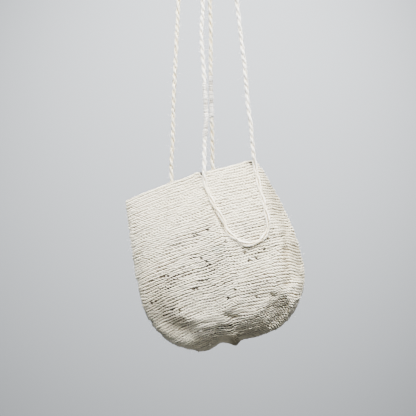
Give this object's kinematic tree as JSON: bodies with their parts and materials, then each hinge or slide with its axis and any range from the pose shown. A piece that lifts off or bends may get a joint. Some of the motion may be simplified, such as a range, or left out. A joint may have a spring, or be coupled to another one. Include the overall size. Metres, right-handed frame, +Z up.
{
  "type": "bilum string bag",
  "caption": "Small looped string bag with a slim open mouth and a rounded base, hung tilted by twisted cord straps.",
  "frame": {"origin": "the top of the straps, where they pass over what the bag hangs from", "axes": "+Z up, +X along the bag's width towards the rim's higher end, -Y out of the bag's front"},
  "size_m": [0.2151, 0.0768, 0.4657],
  "materials": {
    "looped_yarn": "undyed twisted yarn in close looping, matt and slightly hairy",
    "twisted_cord": "soft two-ply cord of the same undyed yarn",
    "whipping_thread": "undyed thread wound in close turns"
  },
  "bodies": {
    "root": {"bag_body": "looped_yarn", "front_strap": "twisted_cord", "back_strap": "twisted_cord", "front_whipping": "whipping_thread", "back_whipping": "whipping_thread"}
  },
  "joints": []
}
